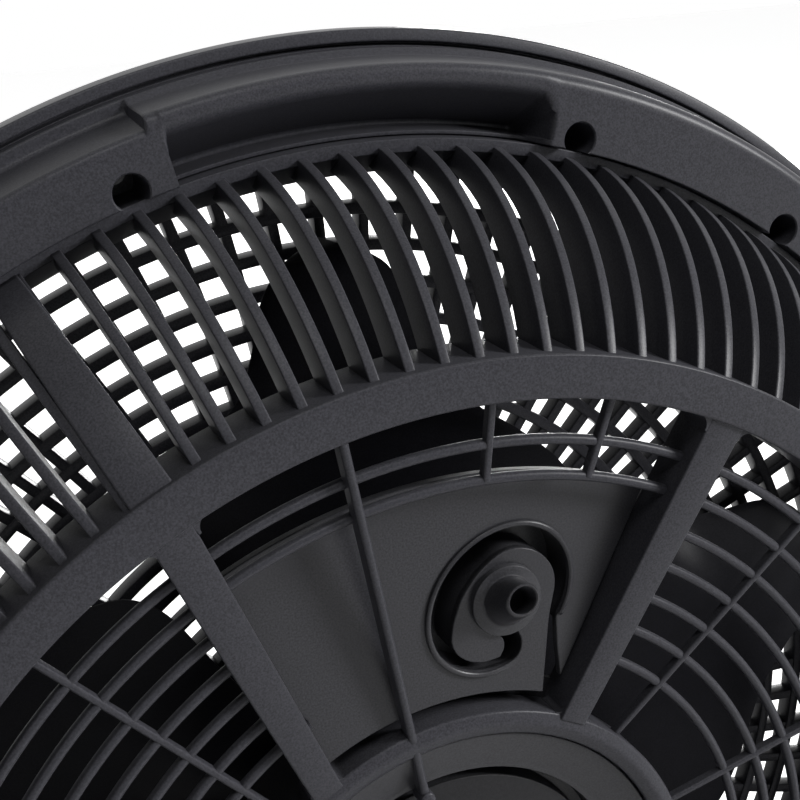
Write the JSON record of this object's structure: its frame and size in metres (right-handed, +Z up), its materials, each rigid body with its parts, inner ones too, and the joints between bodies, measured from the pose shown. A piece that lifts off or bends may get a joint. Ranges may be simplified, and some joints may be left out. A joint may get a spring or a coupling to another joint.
{
  "type": "floor fan",
  "caption": "Round black floor fan with a domed louvre grille, carry handle and tilting head in a bent-tube stand; it moves air across a room.",
  "frame": {"origin": "on the floor, midway between the feet, under the tilt axis", "axes": "+Z up, fan front towards -Y, tilt axis along X"},
  "size_m": [0.6156, 0.328, 0.585],
  "materials": {
    "shell_plastic": "moulded, fine grain",
    "grille_plastic": "moulded, fine grain",
    "panel_plastic": "moulded, fine grain",
    "knob_plastic": "moulded, satin",
    "blade_plastic": "moulded, smooth satin",
    "switch_plastic": "moulded",
    "stand_steel": "powder coated",
    "bolt_steel": "zinc plated",
    "screw_steel": "black oxide",
    "washer_nylon": "nylon",
    "foot_rubber": "matt",
    "grommet_rubber": "matt",
    "motor_metal": "black paint",
    "core_steel": "laminated",
    "winding_copper": "enamelled wire",
    "bearing_brass": "sintered"
  },
  "bodies": {
    "stand": {"front_stand_tube": "stand_steel", "rear_stand_tube": "stand_steel", "left_tilt_plate": "stand_steel", "right_tilt_plate": "stand_steel", "tilt_washers": "washer_nylon", "tilt_bolts": "bolt_steel", "rubber_feet": "foot_rubber"},
    "head": {"rear_shell": "shell_plastic", "rear_grille": "grille_plastic", "sector_panel": "panel_plastic", "panel_screw": "screw_steel", "rim_screws": "screw_steel", "front_bezel": "shell_plastic", "front_grille": "grille_plastic", "hub_cover": "panel_plastic", "cord_grommet": "grommet_rubber", "switch_body": "switch_plastic", "motor_housing_rear": "motor_metal", "motor_housing_front": "motor_metal", "stator_core": "core_steel", "stator_windings": "winding_copper", "rear_bearing": "bearing_brass", "front_bearing": "bearing_brass"},
    "knob": {"speed_knob": "knob_plastic", "switch_spindle": "bolt_steel"},
    "rotor": {"motor_shaft": "bolt_steel", "rotor_core": "core_steel", "fan_blade": "blade_plastic", "blade_nut": "knob_plastic"}
  },
  "joints": [
    {"name": "head_tilt", "type": "hinge", "parent": "stand", "child": "head", "pos_m": [0, 0, 0.305], "axis": [-1, 0, 0], "range_deg": [-20, 90]},
    {"name": "blade_spin", "type": "hinge", "parent": "head", "child": "rotor", "pos_m": [0, 0, 0.305], "axis": [0, 1, 0], "continuous": true},
    {"name": "speed_turn", "type": "hinge", "parent": "head", "child": "knob", "pos_m": [0, 0.055, 0.305], "axis": [0, 1, 0], "range_deg": [0, 135]}
  ]
}
